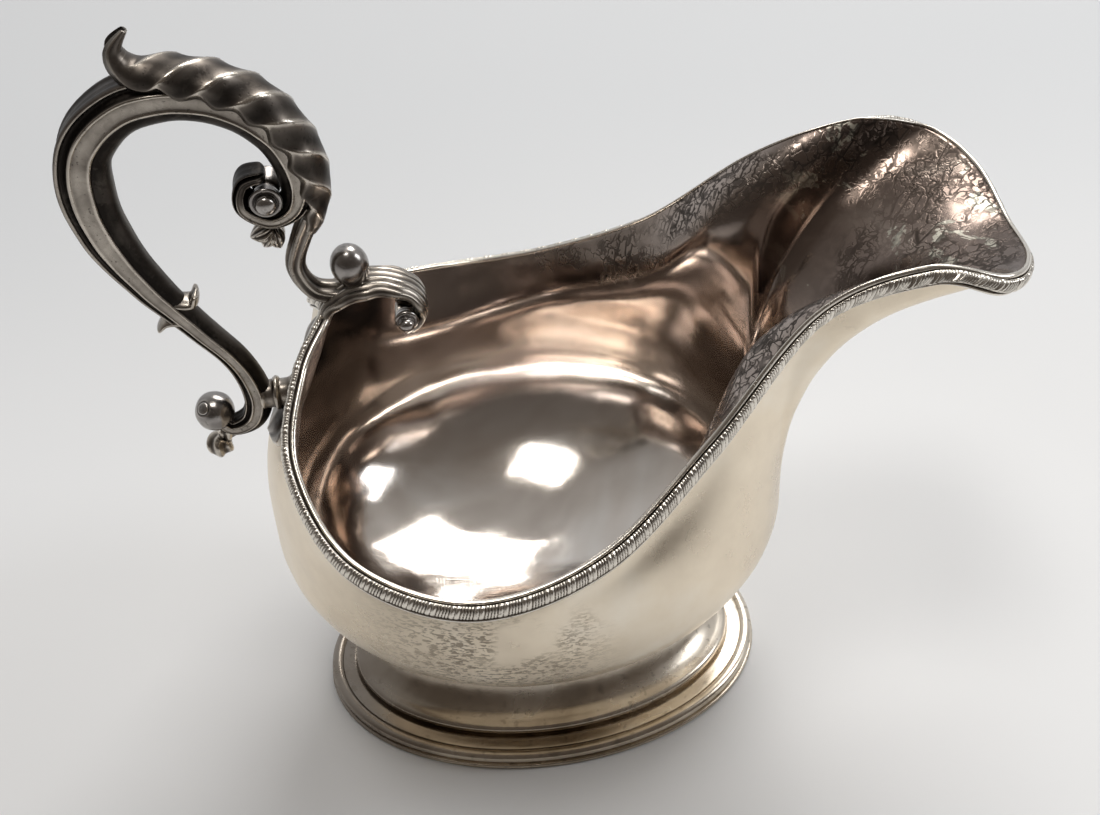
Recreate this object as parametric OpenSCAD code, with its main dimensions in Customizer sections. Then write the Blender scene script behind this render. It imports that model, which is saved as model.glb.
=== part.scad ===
// Sauce boat on an oval stepped foot, with a cast flying scroll handle.
// Millimetres. +Z up, +X towards the spout, Y across. The origin is on the
// surface the foot stands on, in the middle of the boat's length.

/* [Bowl] */
// Forward reach of the belly from the foot's centre
belly_front = 53; // [48:0.5:58]
// Rearward reach of the belly from the foot's centre
belly_rear = 52.5; // [48:0.5:57]
// Half width of the belly
belly_side = 47.6; // [43:0.2:52]
// Height of the widest part of the belly
belly_z = 49.6; // [44:0.2:55]
// Height of the bowl's underside at the middle
bowl_low_z = 19.2; // [16:0.2:22]
// How far one back corner of the rim is out of true
back_tuck = 5.5; // [0:0.5:7]
// Thickness of the silver sheet
wall = 1.0; // [0.8:0.1:2]
// Rise of the spout's lip above the table
lip_z = 102.9; // [98:0.1:108]

/* [Rim border] */
// Height of the applied border along the wall
border_h = 3.2; // [2:0.1:5]
// How far the border stands out from the wall
border_t = 1.5; // [0.8:0.1:2.5]

/* [Foot] */
// Half length of the foot where it meets the table
foot_a = 48; // [42:1:54]
// Half width of the foot where it meets the table
foot_b = 34.5; // [30:0.5:40]
// Width of the flange outside the step
flange_w = 6.2; // [4:0.1:9]
// Height of the step between the flange and the neck
step_z = 4.6; // [3:0.1:7]

/* [Handle] */
// Thickness of the scroll at the crown
scroll_t = 10.2; // [7:0.1:12]
// Width of the scroll at the crown
scroll_w = 8.6; // [6:0.1:11]
// Width of the clasp that grips the rim
clasp_w = 9.2; // [7:0.1:12]
// Diameter of the round boss at the foot of the handle
terminal_d = 7.7; // [5:0.1:9]

/* [Build] */
// Which sub-part to build

/* [Hidden] */
foot_x = -10.1;      // the foot's centre behind the middle of the length
around = 22;         // half the number of steps round the bowl, per side
silver = [0.78, 0.76, 0.72];
silver_dark = [0.45, 0.43, 0.40];
eps = 0.02;
strut_v = 1.7;      // where the handle's strut meets the rear wall

// Rim of the bowl, from the handle round one side to the lip.
rim_pts = [[-34, 0, 102], [-40, 12, 96.5], [-43, 27, 86.5], [-34, 44, 76],
           [-13, 53, 71], [11, 49, 75], [33, 37, 88.3], [54, 27.4, 106.8],
           [74, 26.4, 113], [88.3, 26.6, 109.2], [95.6, 16.4, lip_z + 2.7],
           [97.1, 0, lip_z]];

// ---- small helpers -------------------------------------------------------
function mirror_y(p) = [p[0], -p[1], p[2]];
function cr(a, b, c, d, t) = 0.5 * (2 * b + (c - a) * t
  + (2 * a - 5 * b + 4 * c - d) * t * t + (3 * b - a - 3 * c + d) * t * t * t);
function clampi(i, n) = max(0, min(n - 1, i));
// a smooth open curve through hand-set points, k steps per span
function smooth(p, k) = let (n = len(p)) [for (i = [0:n - 2]) for (j = [0:k - 1])
    cr(p[clampi(i - 1, n)], p[i], p[i + 1], p[clampi(i + 2, n)], j / k),
  p[n - 1]];
function unit(v) = v / norm(v);
function mix(a, b, t) = a * (1 - t) + b * t;
function ramp(x, a, b) = let (t = max(0, min(1, (x - a) / (b - a)))) t * t * (3 - 2 * t);
function bez(a, b, c, d, t) = let (s = 1 - t)
  a * s * s * s + 3 * b * s * s * t + 3 * c * s * t * t + d * t * t * t;

// ---- bowl surface --------------------------------------------------------
nr = len(rim_pts);
function rim_ext(i) = i < 0 ? mirror_y(rim_pts[-i])
  : i > nr - 1 ? mirror_y(rim_pts[2 * (nr - 1) - i]) : rim_pts[i];
function rim_half(s) = let (q = s * (nr - 1), i = min(nr - 2, floor(q)))
  cr(rim_ext(i - 1), rim_ext(i), rim_ext(i + 1), rim_ext(i + 2), q - i);
// u runs 0 to 2: 0 at the handle, 1 at the lip, 2 back at the handle
// the back corner on the +Y side sits a little further in, as hand work does
function tuck(u) = u < 0.36 ? back_tuck * pow(sin(180 * u / 0.36), 2) : 0;
function rim(u) = u <= 1 ? rim_half(u) + [tuck(u), 0, 0] : mirror_y(rim_half(2 - u));
function polar(u) = let (p = rim(u)) atan2(p[1], p[0]);
function belly(u) = let (f = polar(u), r = cos(f) > 0 ? belly_front : belly_rear)
  [r * cos(f), belly_side * sin(f), belly_z];
// lean of the wall at the rim: above 90 degrees it leans in
function lean(u) = let (f = abs(polar(u)))
  mix(mix(5.5, 56.5, ramp(f, 0, 55)), 108.7, ramp(f, 95, 180));
function out_dir(u) = let (p = rim(u)) unit([p[0], p[1], 0]);
function wall_dir(u) = out_dir(u) * cos(lean(u)) + [0, 0, sin(lean(u))];
function to_side(u) = ramp(abs(polar(u)), 0, 60);
function rim_pull(u) = mix(0.355, 0.62, to_side(u)) * norm(rim(u) - belly(u));
function upper(u, t) = let (e = belly(u), r = rim(u))
  bez(e, e + [0, 0, mix(0.61, 0.65, to_side(u)) * (r[2] - e[2])],
      r - wall_dir(u) * rim_pull(u), r, t);
function lower(u, a) = let (e = belly(u), h = belly_z - bowl_low_z)
  [e[0] * sin(a), e[1] * sin(a), bowl_low_z + h * (1 - cos(a))];
// v runs 0 at the underside's middle, 1 at the belly, 2 at the rim
function skin(u, v) = v <= 1 ? lower(u, 90 * v) : upper(u, v - 1);
function skin_n(u, v) = let (e = 0.004, w = max(0.02, v),
    du = skin(u + e, w) - skin(u - e < 0 ? u - e + 2 : u - e, w),
    dv = skin(u, min(2, w + e)) - skin(u, w - e))
  unit(cross(dv, du));
function skin_in(u, v, d) = v < 0.02 ? skin(u, 0) + [0, 0, d] : skin(u, v) - skin_n(u, v) * d;
// height of the bowl's underside over a point
function under_z(x, y) = let (ax = x > 0 ? belly_front : belly_rear,
    r = sqrt(pow(x / ax, 2) + pow(y / belly_side, 2)))
  bowl_low_z + (belly_z - bowl_low_z) * (1 - sqrt(max(0, 1 - r * r)));

// ---- solids from rings of points ----------------------------------------
// rings of m points each, closed at both ends by fans
function ring_faces(n, m, shift) = [for (i = [0:n - 2]) for (j = [0:m - 1])
  let (a = i * m + j, b = i * m + (j + 1) % m, c = a + m, d = b + m)
  each [[a + shift, b + shift, d + shift], [a + shift, d + shift, c + shift]]];
module capped(rings) {
  n = len(rings);
  m = len(rings[0]);
  pts = [for (r = rings) each r];
  polyhedron(points = pts, faces = concat(ring_faces(n, m, 0),
    [[for (j = [m - 1:-1:0]) j]], [[for (j = [0:m - 1]) (n - 1) * m + j]]));
}
// rings joined last to first
module looped(rings) {
  n = len(rings);
  m = len(rings[0]);
  pts = [for (r = rings) each r];
  polyhedron(points = pts, faces = [for (i = [0:n - 1]) for (j = [0:m - 1])
    let (k = (i + 1) % n, a = i * m + j, b = i * m + (j + 1) % m,
         c = k * m + j, d = k * m + (j + 1) % m)
    each [[a, b, d], [a, d, c]]]);
}
// round-ended section of a bar: half outline, outer side first
bar_half = [[0.5, 0.14], [0.42, 0.3], [0.26, 0.42], [0.2, 0.5], [-0.14, 0.5],
            [-0.22, 0.38], [-0.36, 0.38], [-0.5, 0.2]];
round_half = [for (a = [11.25:22.5:180]) [0.5 * cos(a), 0.5 * sin(a)]];
function both(h) = concat(h, [for (i = [len(h) - 1:-1:0]) [h[i][0], -h[i][1]]]);
// path entries are [x, z, thickness, width]; the bar lies in the XZ plane
module bar(path, half, k) {
  p = smooth(path, k);
  n = len(p);
  s = both(half);
  rings = [for (i = [0:n - 1]) let (a = p[clampi(i - 1, n)], b = p[clampi(i + 1, n)],
      t = unit([b[0] - a[0], b[1] - a[1]]))
    [for (q = s) [p[i][0] - t[1] * q[0] * p[i][2], q[1] * p[i][3],
                  p[i][1] + t[0] * q[0] * p[i][2]]]];
  capped(rings);
}
// an oval line, d outside the step
function oval(t, d) = let (a = foot_a - flange_w, b = foot_b - flange_w,
    n = unit([b * cos(t), a * sin(t), 0]))
  [a * cos(t), b * sin(t), 0] + n * d;
module oval_band(profile) {
  looped([for (i = [0:71]) let (t = -i * 5)
    [for (q = profile) oval(t, q[0]) + [0, 0, q[1]]]]);
}
function disc(cx, cz, r, n) = [for (i = [0:n - 1]) [cx + r * cos(-360 * i / n),
                                                    cz + r * sin(-360 * i / n)]];
module placed() {
  translate([foot_x, 0, 0]) children();
}

// ---- bowl and border -----------------------------------------------------
rows = [for (i = [1:8]) i / 8, for (i = [1:8]) 1 + i / 8];
cols = [for (i = [0:2 * around - 1]) i / around];
module bowl() {
  m = len(cols);
  outer = [for (v = rows) [for (u = cols) skin(u, v)]];
  inner = [for (v = rows) [for (u = cols) skin_in(u, v, wall)]];
  r = len(rows);
  // outside from the middle up, then inside from the rim down
  rings = concat(outer, [for (i = [r - 1:-1:0]) inner[i]]);
  n = len(rings);
  pts = concat([for (q = rings) each q], [skin(0, 0)], [skin(0, 0) + [0, 0, wall]]);
  lo = n * m;
  color(silver) placed() polyhedron(points = pts, faces = concat(
    [for (f = ring_faces(n, m, 0)) [f[2], f[1], f[0]]],
    [for (j = [0:m - 1]) [lo, j, (j + 1) % m]],
    [for (j = [0:m - 1]) [lo + 1, (n - 1) * m + (j + 1) % m, (n - 1) * m + j]]));
}

// the border's face is turned up from the wall by this much
function face_turn(u) = 32 * (1 - ramp(abs(polar(u)), 95, 150));
module rim_border() {
  n = 120;
  // the edge that caps the sheet, then the face: [along the wall, out from it]
  edge = [[-0.05, -eps], [-0.05, -wall - 0.25], [0.35, -wall - 0.25], [0.55, -0.4]];
  face = [[0.3, 0.35 * border_t], [-0.25 * border_h, 0.5 * border_t],
          [-0.35 * border_h, border_t], [-0.8 * border_h, border_t],
          [-border_h, 0.45 * border_t]];
  color(silver_dark) placed() looped([for (i = [0:n - 1])
    let (u = 2 * i / n, r = skin(u, 2), w = wall_dir(u), o = skin_n(u, 1.98),
         t = unit(w - o * (w * o)), a = face_turn(u), low = 2 - border_h / (3 * rim_pull(u)),
         t2 = t * cos(a) - o * sin(a), o2 = o * cos(a) + t * sin(a))
    [for (q = edge) r + t * q[0] + o * q[1], for (q = face) r + t2 * q[0] + o2 * q[1],
     skin(u, low) - skin_n(u, low) * eps]]);
}

// ---- foot ----------------------------------------------------------------
// neck outline: [offset from the step, height]; the last height is the bowl's
neck_out = [[-0.9, step_z - 0.6], [-0.1, step_z + 0.2], [-0.15, step_z + 1.2],
            [-1.1, step_z + 2], [-3.4, step_z + 3], [-6, step_z + 5.4], [-7.8, step_z + 9]];
neck_in = [[-9.2, step_z + 9], [-7.4, step_z + 5], [-4.6, step_z + 2.2], [-2.2, step_z + 0.6],
           [-1.8, step_z - 0.6]];
function top_pt(t, d) = let (p = oval(t, d)) [p[0], p[1], under_z(p[0], p[1]) - 0.02];
module foot_neck() {
  color(silver) placed() looped([for (i = [0:71]) let (t = -i * 5)
    concat([for (q = neck_out) oval(t, q[0]) + [0, 0, q[1]]],
           [top_pt(t, -8.6), top_pt(t, -9.8)],
           [for (q = neck_in) oval(t, q[0]) + [0, 0, q[1]]])]);
}
module foot_flange() {
  color(silver) placed() oval_band([[-1.6, step_z - 0.6], [0.2, step_z - 0.6],
    [1.6, step_z - 1.1], [3.4, step_z - 1.9], [3.9, step_z - 2.3], [3.9, 1.3],
    [2.9, 1.3], [2.2, step_z - 2.6], [0.6, step_z - 1.8], [-1.6, step_z - 1.6]]);
}
module foot_edge_bead() {
  color(silver) placed() oval_band(disc(flange_w - 1.55, 2.55, 1.25, 12));
}
module foot_base_ring() {
  color(silver) placed() oval_band([[flange_w - 3.2, 1.3], [flange_w - 0.7, 1.3],
    [flange_w - 0.2, 1.1], [flange_w, 0.7], [flange_w - 0.15, 0.25],
    [flange_w - 0.5, 0], [flange_w - 3.2, 0]]);
}

// ---- handle --------------------------------------------------------------
st = scroll_t;
sw = scroll_w;
// from the volute's eye over the crown and down to the lower curl
scroll_path = [[-40.5, 132.6, 2.4, 5.5], [-44.4, 131.8, 3, 7], [-45.2, 127.6, 3.6, sw],
  [-41, 124.4, 4, sw], [-36.4, 126.4, 5.2, sw], [-34.9, 132.4, 0.71 * st, sw],
  [-37.6, 141.1, 0.83 * st, sw], [-45, 147.7, 0.89 * st, sw], [-54, 150.2, 0.94 * st, sw],
  [-63.2, 148.6, 0.98 * st, sw], [-70.2, 142.1, st, 0.96 * sw], [-72.1, 133, st, 0.92 * sw],
  [-70.3, 122.4, 0.88 * st, 0.84 * sw], [-65.3, 111.5, 0.66 * st, 0.74 * sw],
  [-58.7, 101.3, 0.5 * st, 0.66 * sw], [-52.8, 92.2, 0.48 * st, 0.62 * sw],
  [-50.5, 83.6, 0.56 * st, 0.6 * sw], [-52.2, 77.7, 0.5 * st, 0.58 * sw],
  [-56.6, 75.9, 0.38 * st, 0.54 * sw], [-59.4, 78.6, 0.3 * st, 0.5 * sw]];
module handle_scroll() {
  color(silver_dark) placed() bar(scroll_path, bar_half, 4);
}

// the leaf wraps the back of the scroll and curls up at its tip
leaf_path = [[-34, 119.6, 2.2], [-31.7, 124, 3.8], [-30.2, 130.2, 4.9], [-31.2, 138.4, 5.4],
             [-36.2, 147.4, 5.4], [-44.6, 153.4, 5.2], [-53.2, 156, 4.8],
             [-58.6, 156.5, 3.6], [-60.4, 159.6, 2], [-58, 162.8, 0.5]];
module handle_leaf() {
  p = smooth(leaf_path, 4);
  n = len(p);
  rings = [for (i = [0:n - 1]) let (a = p[clampi(i - 1, n)], b = p[clampi(i + 1, n)],
      t = unit([b[0] - a[0], b[1] - a[1]]), h = p[i][2], flute = 1 + 0.1 * sin(i * 90),
      o = [t[1], -t[0]])
    [for (k = [-6:6]) let (f = k * 15, d = 1.1 * cos(f) * (h > 3 ? 1 : h / 3))
       [p[i][0] + o[0] * (d - (1 - cos(f)) * h * 0.8), h * sin(f) * flute,
        p[i][1] + o[1] * (d - (1 - cos(f)) * h * 0.8)],
     for (k = [6:-1:-6]) let (f = k * 15, g = h > 3 ? 1 : h / 3, d = -0.5 * g)
       [p[i][0] + o[0] * (d - (1 - cos(f)) * h * 0.8), (h - 0.6 * g) * sin(f) * flute,
        p[i][1] + o[1] * (d - (1 - cos(f)) * h * 0.8)]]];
  color(silver_dark) placed() capped(rings);
}

module boss_pair(x, z, y, r, stem) {
  for (s = [-1, 1]) translate([x, s * y, z]) {
    sphere(r = r, $fn = 28);
    rotate([s * 90, 0, 0]) cylinder(r = r * 0.82, h = stem, $fn = 28);
  }
}
module volute_eyes() {
  color(silver) placed() boss_pair(-41, 128.6, 4.1, 1.9, 4.1);
}
module handle_shell() {
  color(silver_dark) placed() difference() {
    union() for (a = [-1:1]) translate([-40.9, 0, 121.4])
      rotate([0, 210 + 36 * a, 0]) translate([0, 0, 1.6])
        scale([0.6, 1.1, 1.35]) sphere(r = 2.6, $fn = 20);
    translate([-41, 0, 128.6]) rotate([90, 0, 0]) cylinder(r = 5.9, h = 20, center = true, $fn = 48);
  }
}
arm_path = [[-32.6, 125, 5, 6.2], [-36.2, 118.6, 4, 5], [-38.3, 112, 3.8, 4.8],
            [-35.6, 106.4, 4, 5.4], [-29.6, 105.2, 4, 6.4], [-26, 107.6, 3, 6.2]];
module s_arm() {
  color(silver_dark) placed() bar(arm_path, round_half, 4);
}
module arm_ball() {
  color(silver) placed() translate([-28.5, 0, 110.6]) rotate([0, -8, 0])
    scale([1, 1, 1.2]) sphere(r = 3.6, $fn = 32);
}
cw = clasp_w;
clasp_path = [[-35, 98.6, 1.6, 0.7 * cw], [-33.6, 103, 3.4, 0.9 * cw], [-29, 105.6, 3.6, cw],
              [-23, 106.2, 3.2, cw], [-18, 104, 2.8, cw], [-16.2, 100, 2.4, cw],
              [-18.6, 97.2, 2.2, cw], [-21.4, 98.8, 1.8, cw]];
module clasp_leaf() {
  color(silver_dark) placed() difference() {
    bar(clasp_path, round_half, 4);
    slot();
  }
}
// room for the bowl's edge inside the clasp
module slot() {
  translate([-34.1, 0, 96.7]) rotate([0, 20, 0]) cube([wall + 1.4, 30, 12], center = true);
}
module clasp_finials() {
  color(silver) placed() for (s = [-1, 1]) translate([-19.4, s * 0.5 * cw, 99.8]) rotate([s * 90, 0, 0]) {
    translate([0, 0, -0.6]) cylinder(r = 2.1, h = 1.4, $fn = 28);
    translate([0, 0, 1.6]) sphere(r = 1.5, $fn = 24);
  }
}
module spur(path, w) {
  bar([for (q = path) [q[0], q[1], q[2], w]], round_half, 3);
}
module inner_spur() {
  color(silver_dark) placed() spur([[-64, 108.6, 2.6], [-61.2, 107.2, 2.4],
    [-58.6, 107, 2], [-57.6, 108.8, 1.1]], 5);
}
module outer_spur() {
  color(silver_dark) placed() spur([[-58.6, 101.4, 2.4], [-61.4, 103, 2.2],
    [-64, 103.2, 1.8], [-65.6, 102, 1]], 4.4);
}
module terminal_ball() {
  color(silver) placed() translate([-59.5, 0, 80]) sphere(r = terminal_d / 2, $fn = 40);
}
module terminal_bud() {
  color(silver_dark) placed() translate([-60, 0, 71.5]) {
    sphere(r = 2.5, $fn = 28);
    rotate([0, 36, 0]) cylinder(r1 = 2, r2 = 1.5, h = 4.6, $fn = 28);
  }
}
module lower_strut() {
  p = skin(0, strut_v);
  color(silver_dark) placed() translate([p[0] - 0.3, 0, p[2]]) rotate([0, -90, 0]) {
    cylinder(r1 = 3.1, r2 = 2.8, h = 7, $fn = 36);
    translate([0, 0, 3.2]) cylinder(r = 3.3, h = 0.9, $fn = 36);
  }
}
// a thin leaf-shaped plate lying on the rear wall between two heights
module plate(v0, v1, half_w, t) {
  n = 10;
  rings = [for (i = [0:n]) let (v = v0 + (v1 - v0) * i / n,
      hw = half_w * pow(sin(180 * (0.06 + 0.88 * i / n)), 0.8))
    [for (k = [-3:3]) let (u = k * hw / 3 / 150, q = u < 0 ? u + 2 : u)
       skin(q, v) + skin_n(q, v) * (t * (1 - 0.2 * abs(k) / 3)),
     for (k = [3:-1:-3]) let (u = k * hw / 3 / 150, q = u < 0 ? u + 2 : u)
       skin(q, v) - skin_n(q, v) * eps]];
  capped(rings);
}
module upper_plate() {
  color(silver_dark) placed() plate(1.8, 1.97, 8.5, 1.5);
}
module lower_plate() {
  color(silver_dark) placed() plate(1.4, 1.78, 9, 1.1);
}

bowl();
rim_border();
foot_neck();
foot_flange();
foot_edge_bead();
foot_base_ring();
handle_scroll();
handle_leaf();
volute_eyes();
handle_shell();
s_arm();
arm_ball();
clasp_leaf();
clasp_finials();
inner_spur();
outer_spur();
terminal_ball();
terminal_bud();
lower_strut();
upper_plate();
lower_plate();
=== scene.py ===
import bpy
import math
import numpy as np
from mathutils import Matrix, Vector


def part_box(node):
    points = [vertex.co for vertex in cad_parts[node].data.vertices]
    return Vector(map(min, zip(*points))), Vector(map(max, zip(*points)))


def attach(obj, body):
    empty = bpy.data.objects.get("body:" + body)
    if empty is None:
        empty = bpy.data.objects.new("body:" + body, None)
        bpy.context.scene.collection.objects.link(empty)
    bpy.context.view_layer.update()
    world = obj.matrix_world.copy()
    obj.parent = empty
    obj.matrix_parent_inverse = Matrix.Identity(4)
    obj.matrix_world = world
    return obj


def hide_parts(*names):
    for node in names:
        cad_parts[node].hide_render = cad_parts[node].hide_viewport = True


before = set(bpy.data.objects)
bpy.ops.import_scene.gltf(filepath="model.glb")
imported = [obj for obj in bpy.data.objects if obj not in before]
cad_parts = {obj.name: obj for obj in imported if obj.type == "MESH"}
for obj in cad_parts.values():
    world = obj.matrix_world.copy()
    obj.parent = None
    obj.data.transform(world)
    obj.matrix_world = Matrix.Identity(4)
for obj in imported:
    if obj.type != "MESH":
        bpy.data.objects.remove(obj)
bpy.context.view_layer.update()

# Shapes are written in millimetres from the middle of the foot, like part.scad,
# and put() turns them into metres in the shared frame.
ring_lo, ring_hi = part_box("foot_base_ring")
FX = (ring_lo.x + ring_hi.x) / 2
rng = np.random.default_rng(7)

# ---------------------------------------------------------------- materials
def ramp_node(nt, stops):
    n = nt.nodes.new("ShaderNodeValToRGB")
    el = n.color_ramp.elements
    while len(el) > len(stops):
        el.remove(el[-1])
    while len(el) < len(stops):
        el.new(1.0)
    for e, (p, c) in zip(el, stops):
        e.position = p
        e.color = (c, c, c, 1) if isinstance(c, (int, float)) else (*c, 1)
    return n


class Mat:
    """Small helper round one node tree."""

    def __init__(self, name, rough=0.3):
        self.m = bpy.data.materials.new(name)
        self.m.use_nodes = True
        self.nt = self.m.node_tree
        self.b = self.nt.nodes["Principled BSDF"]
        self.b.inputs["Metallic"].default_value = 1.0
        self.b.inputs["Roughness"].default_value = rough
        self.co = self.nt.nodes.new("ShaderNodeTexCoord").outputs["Object"]

    def link(self, a, b):
        self.nt.links.new(a, b)

    def scaled(self, sx, sy, sz, rot=(0, 0, 0)):
        n = self.nt.nodes.new("ShaderNodeMapping")
        n.inputs["Scale"].default_value = (sx, sy, sz)
        n.inputs["Rotation"].default_value = rot
        self.link(self.co, n.inputs["Vector"])
        return n.outputs["Vector"]

    def noise(self, scale, detail=4, rough=0.55, dist=0.0, co=None):
        n = self.nt.nodes.new("ShaderNodeTexNoise")
        n.inputs["Scale"].default_value = scale
        n.inputs["Detail"].default_value = detail
        n.inputs["Roughness"].default_value = rough
        n.inputs["Distortion"].default_value = dist
        self.link(co or self.co, n.inputs["Vector"])
        return n.outputs["Fac"]

    def cell_edges(self, scale, co):
        n = self.nt.nodes.new("ShaderNodeTexVoronoi")
        n.feature = "DISTANCE_TO_EDGE"
        n.inputs["Scale"].default_value = scale
        self.link(co, n.inputs["Vector"])
        return n.outputs["Distance"]

    def attr(self, name, ch=None):
        n = self.nt.nodes.new("ShaderNodeAttribute")
        n.attribute_name = name
        if ch is None:
            return n.outputs["Fac"]
        s = self.nt.nodes.new("ShaderNodeSeparateColor")
        self.link(n.outputs["Color"], s.inputs[0])
        return s.outputs[ch]

    def xyz(self):
        s = self.nt.nodes.new("ShaderNodeSeparateXYZ")
        self.link(self.co, s.inputs[0])
        return s.outputs

    def ramp(self, fac, *stops):
        n = ramp_node(self.nt, stops)
        self.link(fac, n.inputs[0])
        return n.outputs[0]

    def span(self, fac, a, b, lo=0.0, hi=1.0):
        n = self.nt.nodes.new("ShaderNodeMapRange")
        n.interpolation_type = "SMOOTHSTEP"
        self.link(fac, n.inputs["Value"])
        for k, v in (("From Min", a), ("From Max", b), ("To Min", lo), ("To Max", hi)):
            n.inputs[k].default_value = v
        return n.outputs["Result"]

    def math(self, op, a, b=0.5):
        n = self.nt.nodes.new("ShaderNodeMath")
        n.operation = op
        for i, v in enumerate((a, b)):
            if isinstance(v, (int, float)):
                n.inputs[i].default_value = v
            else:
                self.link(v, n.inputs[i])
        n.use_clamp = op in ("MULTIPLY", "ADD", "SUBTRACT")
        return n.outputs[0]

    def mix(self, fac, a, b, blend="MIX"):
        n = self.nt.nodes.new("ShaderNodeMix")
        n.data_type = "RGBA"
        n.blend_type = blend
        for sock, v in ((n.inputs[0], fac), (n.inputs[6], a), (n.inputs[7], b)):
            if isinstance(v, tuple):
                sock.default_value = (*v, 1)
            elif isinstance(v, (int, float)):
                sock.default_value = v
            else:
                self.link(v, sock)
        return n.outputs[2]

    def bump(self, height, dist, strength=1.0, prev=None):
        n = self.nt.nodes.new("ShaderNodeBump")
        n.inputs["Strength"].default_value = strength
        n.inputs["Distance"].default_value = dist
        self.link(height, n.inputs["Height"])
        if prev is not None:
            self.link(prev, n.inputs["Normal"])
        return n.outputs[0]

    def done(self, colour, rough, normal=None):
        self.link(colour, self.b.inputs["Base Color"])
        self.link(rough, self.b.inputs["Roughness"])
        if normal is not None:
            self.link(normal, self.b.inputs["Normal"])
        return self.m


def bowl_material():
    k = Mat("bowl_silver")
    inside = k.attr("surf", 0)
    vv = k.attr("surf", 1)          # 0 at the bottom, 0.5 belly, 1 rim
    x, y, z = k.xyz()
    # outside: satin, warm, with cloudy patches, a pitted patch low at the front
    cloud = k.noise(26, 5, 0.6)
    out_c = k.ramp(cloud, (0.3, (0.71, 0.61, 0.48)), (0.5, (0.86, 0.76, 0.61)),
                   (0.7, (0.96, 0.89, 0.77)))
    patch = k.math("MULTIPLY", k.span(k.noise(38, 3, 0.6), 0.40, 0.52),
                   k.math("MULTIPLY", k.span(x, -0.050, -0.026),
                          k.math("MULTIPLY", k.span(x, 0.006, -0.012), k.span(y, -0.030, -0.040))))
    patch = k.math("MULTIPLY", patch, k.span(z, 0.066, 0.055))
    pit_co = k.scaled(700, 700, 1900)
    pits = k.span(k.noise(1.0, 3, 0.6, 0.4, pit_co), 0.50, 0.57)
    pit = k.math("MULTIPLY", pits, patch)
    upper = k.math("MULTIPLY", k.span(k.noise(46, 2, 0.5), 0.54, 0.62), k.span(x, 0.015, 0.035))
    scuff = k.math("MULTIPLY", k.span(k.noise(1.0, 3, 0.6, 0.3, k.scaled(500, 500, 800)), 0.56, 0.62),
                   k.math("MULTIPLY", upper, k.span(vv, 0.78, 0.9)))
    marks = k.math("ADD", pit, scuff)
    out_c = k.mix(k.math("MULTIPLY", marks, 0.62), out_c, (0.24, 0.20, 0.155))
    # inside: bright and mirror-like with pinkish patches low down, browner up the walls; the pink patches and
    # brown walls are a painted reflection of the dark room
    tone = k.noise(17, 4, 0.6, 0.6)
    in_lo = k.ramp(tone, (0.34, (0.62, 0.55, 0.49)), (0.47, (0.80, 0.735, 0.67)),
                   (0.56, (0.90, 0.86, 0.81)), (0.68, (0.80, 0.70, 0.67)))
    in_wall_reflection = k.ramp(tone, (0.3, (0.29, 0.235, 0.20)), (0.52, (0.46, 0.39, 0.345)),
                   (0.72, (0.62, 0.545, 0.50)))
    in_c = k.mix(k.span(vv, 0.40, 0.60), in_lo, in_wall_reflection)
    # spout: cellular tarnish that thickens towards the rim
    warp = k.mix(0.009, k.co, k.noise(150, 3, 0.6))
    rings = k.span(k.cell_edges(390, warp), 0.13, 0.03)
    blot = k.span(k.noise(430, 4, 0.7, 0.8), 0.52, 0.57)
    web = k.math("MAXIMUM", k.math("MULTIPLY", rings, 0.9), k.math("MULTIPLY", blot, 0.75))
    near_rim = k.span(vv, 0.80, 0.93)
    on_spout = k.span(x, 0.030, 0.060)
    area = k.math("MAXIMUM", k.math("MULTIPLY", near_rim, k.span(x, -0.02, 0.03)),
                  k.math("MULTIPLY", k.span(x, 0.045, 0.068), k.span(k.noise(34, 4, 0.6, 0.5), 0.42, 0.55)))
    area = k.math("MULTIPLY", area, k.span(k.noise(60, 3, 0.6), 0.34, 0.50))
    web = k.math("MULTIPLY", web, area)
    # darker brown over the inside of the spout: painted reflection of the dark room
    spout_reflection_c = k.ramp(k.noise(40, 4, 0.6, 0.8), (0.35, (0.105, 0.072, 0.058)),
                     (0.52, (0.20, 0.145, 0.118)), (0.66, (0.33, 0.265, 0.22)))
    in_c = k.mix(k.math("MULTIPLY", on_spout, 0.7), in_c, spout_reflection_c)
    pale = k.math("MULTIPLY", k.span(k.noise(75, 4, 0.7, 1.0), 0.57, 0.60), k.span(x, 0.040, 0.060))
    in_c = k.mix(k.math("MULTIPLY", pale, 0.75), in_c, (0.60, 0.58, 0.49))
    in_c = k.mix(web, in_c, (0.028, 0.022, 0.018))
    colour = k.mix(inside, out_c, in_c)
    # roughness
    fine = k.noise(900, 3, 0.6)
    r_out = k.math("ADD", k.span(cloud, 0.3, 0.7, 0.24, 0.36), k.math("MULTIPLY", marks, 0.3))
    r_in = k.math("ADD", k.span(tone, 0.35, 0.65, 0.07, 0.15),
                  k.math("MULTIPLY", k.math("MAXIMUM", web, k.math("MULTIPLY", pale, 0.6)), 0.35))
    r_in = k.math("ADD", r_in, k.math("MULTIPLY", k.span(vv, 0.5, 0.75), 0.06))
    rough = k.mix(inside, r_out, r_in)
    rough = k.math("ADD", rough, k.math("MULTIPLY", fine, 0.03))
    # relief: hair scratches, pits, soft hammering
    s1 = k.noise(1.0, 2, 0.5, 0.0, k.scaled(160, 2600, 300, (0.3, 0.1, 0.5)))
    s2 = k.noise(1.0, 2, 0.5, 0.0, k.scaled(2400, 140, 260, (0.2, 0.6, -0.4)))
    n = k.bump(k.math("ADD", s1, s2), 0.00002, 0.35)
    n = k.bump(k.math("SUBTRACT", 1.0, marks), 0.00012, 0.8, n)
    n = k.bump(k.math("SUBTRACT", 1.0, web), 0.00005, 0.5, n)
    n = k.bump(k.noise(110, 2, 0.5), 0.0005, 0.16, n)
    return k.done(colour, rough, n)


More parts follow.
